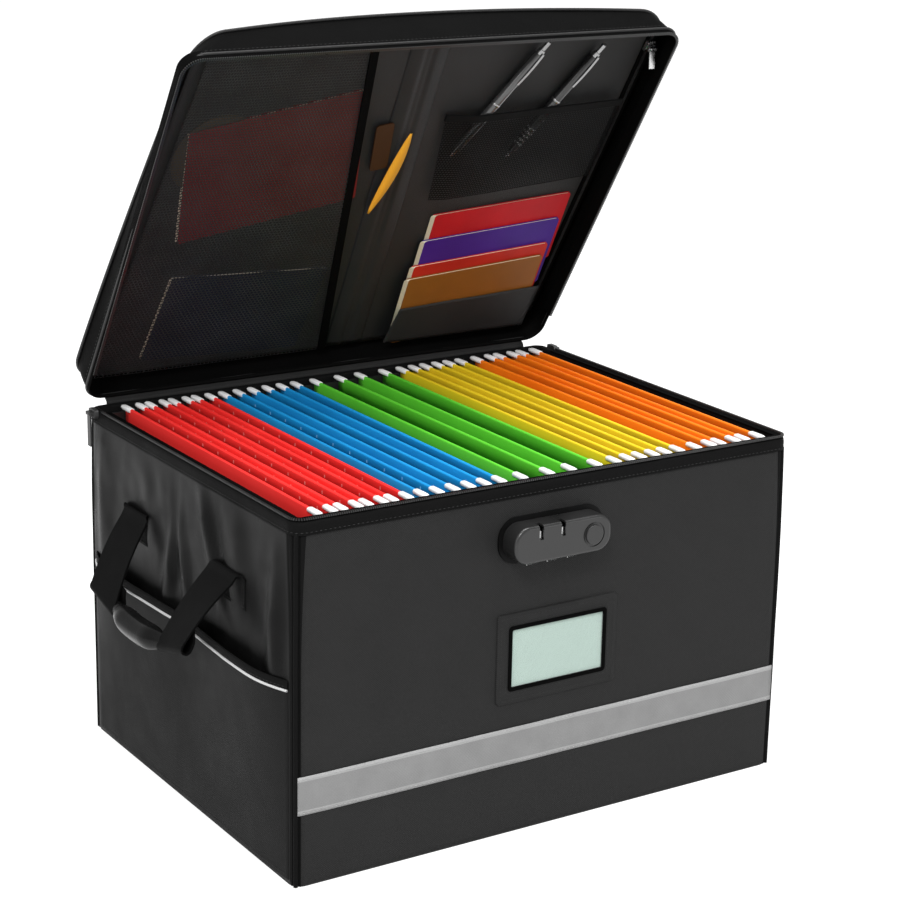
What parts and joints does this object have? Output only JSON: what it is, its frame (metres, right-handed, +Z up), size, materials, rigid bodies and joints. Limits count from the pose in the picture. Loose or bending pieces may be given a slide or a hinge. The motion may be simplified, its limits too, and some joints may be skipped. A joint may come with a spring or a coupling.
{
  "type": "portable file box",
  "caption": "Soft-sided portable file box with a zipped padded lid, hanging folders on rails, side pockets, swinging carry handles and a combination zip lock.",
  "frame": {"origin": "middle of the underside, on the surface that the box stands on", "axes": "+X to the box's right, -Y out of the front wall with the lock, +Z up; the lid's hinge runs along X at the top of the back wall"},
  "size_m": [0.519, 0.3846, 0.5741],
  "materials": {
    "cover_fabric": "matte",
    "board": "matte",
    "lining_fabric": "matte",
    "binding_fabric": "satin",
    "zip_tape": "matte",
    "mesh": "matte",
    "webbing": "matte",
    "grip_plastic": "satin",
    "lock_plastic": "gloss",
    "lock_metal": "polished",
    "steel": "satin",
    "zip_metal": "polished",
    "rail_plastic": "satin",
    "rod_plastic": "satin",
    "folder_red": "matte",
    "folder_blue": "matte",
    "folder_green": "matte",
    "folder_yellow": "matte",
    "folder_orange": "matte",
    "reflective": "satin",
    "label_card": "matte",
    "clear_film": "gloss",
    "booklet_paper": "satin",
    "pen_plastic": "gloss"
  },
  "bodies": {
    "box": {"base_cover": "cover_fabric", "base_board": "board", "front_cover": "cover_fabric", "back_cover": "cover_fabric", "left_cover": "cover_fabric", "right_cover": "cover_fabric", "front_board": "board", "back_board": "board", "side_boards": "board", "lining": "lining_fabric", "rim_band": "binding_fabric", "box_zip_tape": "zip_tape", "corner_welts": "binding_fabric", "hinge_strip": "binding_fabric", "folder_rails": "rail_plastic", "lock_flange": "lock_plastic", "lock_case": "lock_plastic", "backing_plate": "steel", "lock_screws": "steel", "dial_axle": "lock_metal", "button_spring": "steel", "label_patch": "binding_fabric", "label_window": "clear_film", "label_card": "label_card", "reflective_strip": "reflective", "left_pocket": "cover_fabric", "right_pocket": "cover_fabric", "pocket_bindings": "binding_fabric", "handle_anchors": "webbing", "zip_sliders": "zip_metal"},
    "lid": {"lid_cover": "cover_fabric", "lid_board": "board", "lid_skirt": "cover_fabric", "lid_zip_tape": "zip_tape", "lid_lining": "lining_fabric", "mesh_pocket": "mesh", "lid_pleat": "lining_fabric", "lid_organizer": "lining_fabric", "pocket_zip": "zip_tape", "lid_booklets": "booklet_paper", "lid_pens": "pen_plastic"},
    "folders": {"red_folders": "folder_red", "blue_folders": "folder_blue", "green_folders": "folder_green", "yellow_folders": "folder_yellow", "orange_folders": "folder_orange", "folder_rods": "rod_plastic"},
    "left_handle": {"left_straps": "webbing", "left_grip": "grip_plastic"},
    "right_handle": {"right_straps": "webbing", "right_grip": "grip_plastic"},
    "left_pull": {"left_zip_pull": "zip_metal"},
    "right_pull": {"right_zip_pull": "zip_metal"},
    "lid_slider": {"pocket_slider": "zip_metal"},
    "lid_pull": {"pocket_pull": "zip_metal"},
    "dial_left": {"dial_1": "lock_metal"},
    "dial_middle": {"dial_2": "lock_metal"},
    "dial_right": {"dial_3": "lock_metal"},
    "button": {"lock_button": "lock_metal"},
    "latch": {"latch_bar": "lock_metal"}
  },
  "joints": [
    {"name": "lid_hinge", "type": "hinge", "parent": "box", "child": "lid", "pos_m": [0, 0.167, 0.2692], "axis": [-1, 0, 0], "range_deg": [-57.5, 112.5]},
    {"name": "folders_slide", "type": "slide", "parent": "box", "child": "folders", "axis": [1, 0, 0], "range_m": [-0.008, 0.006]},
    {"name": "left_handle_swing", "type": "hinge", "parent": "box", "child": "left_handle", "pos_m": [-0.2156, 0, 0.206], "axis": [0, 1, 0], "range_deg": [-14, 115]},
    {"name": "right_handle_swing", "type": "hinge", "parent": "box", "child": "right_handle", "pos_m": [0.2156, 0, 0.206], "axis": [0, -1, 0], "range_deg": [-14, 115]},
    {"name": "left_pull_swing", "type": "hinge", "parent": "box", "child": "left_pull", "pos_m": [-0.2184, 0.15, 0.266], "axis": [0, 1, 0], "range_deg": [-10, 170]},
    {"name": "right_pull_swing", "type": "hinge", "parent": "box", "child": "right_pull", "pos_m": [0.2184, 0.15, 0.266], "axis": [0, -1, 0], "range_deg": [-10, 170]},
    {"name": "lid_zip_slide", "type": "slide", "parent": "lid", "child": "lid_slider", "axis": [0, 0.5373, -0.8434], "range_m": [0, 0.27]},
    {"name": "lid_pull_swing", "type": "hinge", "parent": "lid_slider", "child": "lid_pull", "pos_m": [0.2044, 0.01309, 0.53871], "axis": [1, 0, 0], "range_deg": [-147.5, 32.5]},
    {"name": "lock_press", "type": "slide", "parent": "box", "child": "button", "axis": [0, 1, 0], "range_m": [0, 0.002], "stiffness_N_per_m": 300, "springref_m": -0.001, "deforming": ["button_spring"]},
    {"name": "latch_slide", "type": "slide", "parent": "box", "child": "latch", "axis": [1, 0, 0], "range_m": [0, 0.0025]},
    {"name": "dial_1_turn", "type": "hinge", "parent": "box", "child": "dial_left", "pos_m": [-0.029, -0.1742, 0.2164], "axis": [1, 0, 0], "continuous": true},
    {"name": "dial_2_turn", "type": "hinge", "parent": "box", "child": "dial_middle", "pos_m": [-0.0115, -0.1742, 0.2164], "axis": [1, 0, 0], "continuous": true},
    {"name": "dial_3_turn", "type": "hinge", "parent": "box", "child": "dial_right", "pos_m": [0.006, -0.1742, 0.2164], "axis": [1, 0, 0], "continuous": true}
  ],
  "couplings": [
    {"joint": "latch_slide", "follows": "lock_press", "ratio": 1.25}
  ]
}
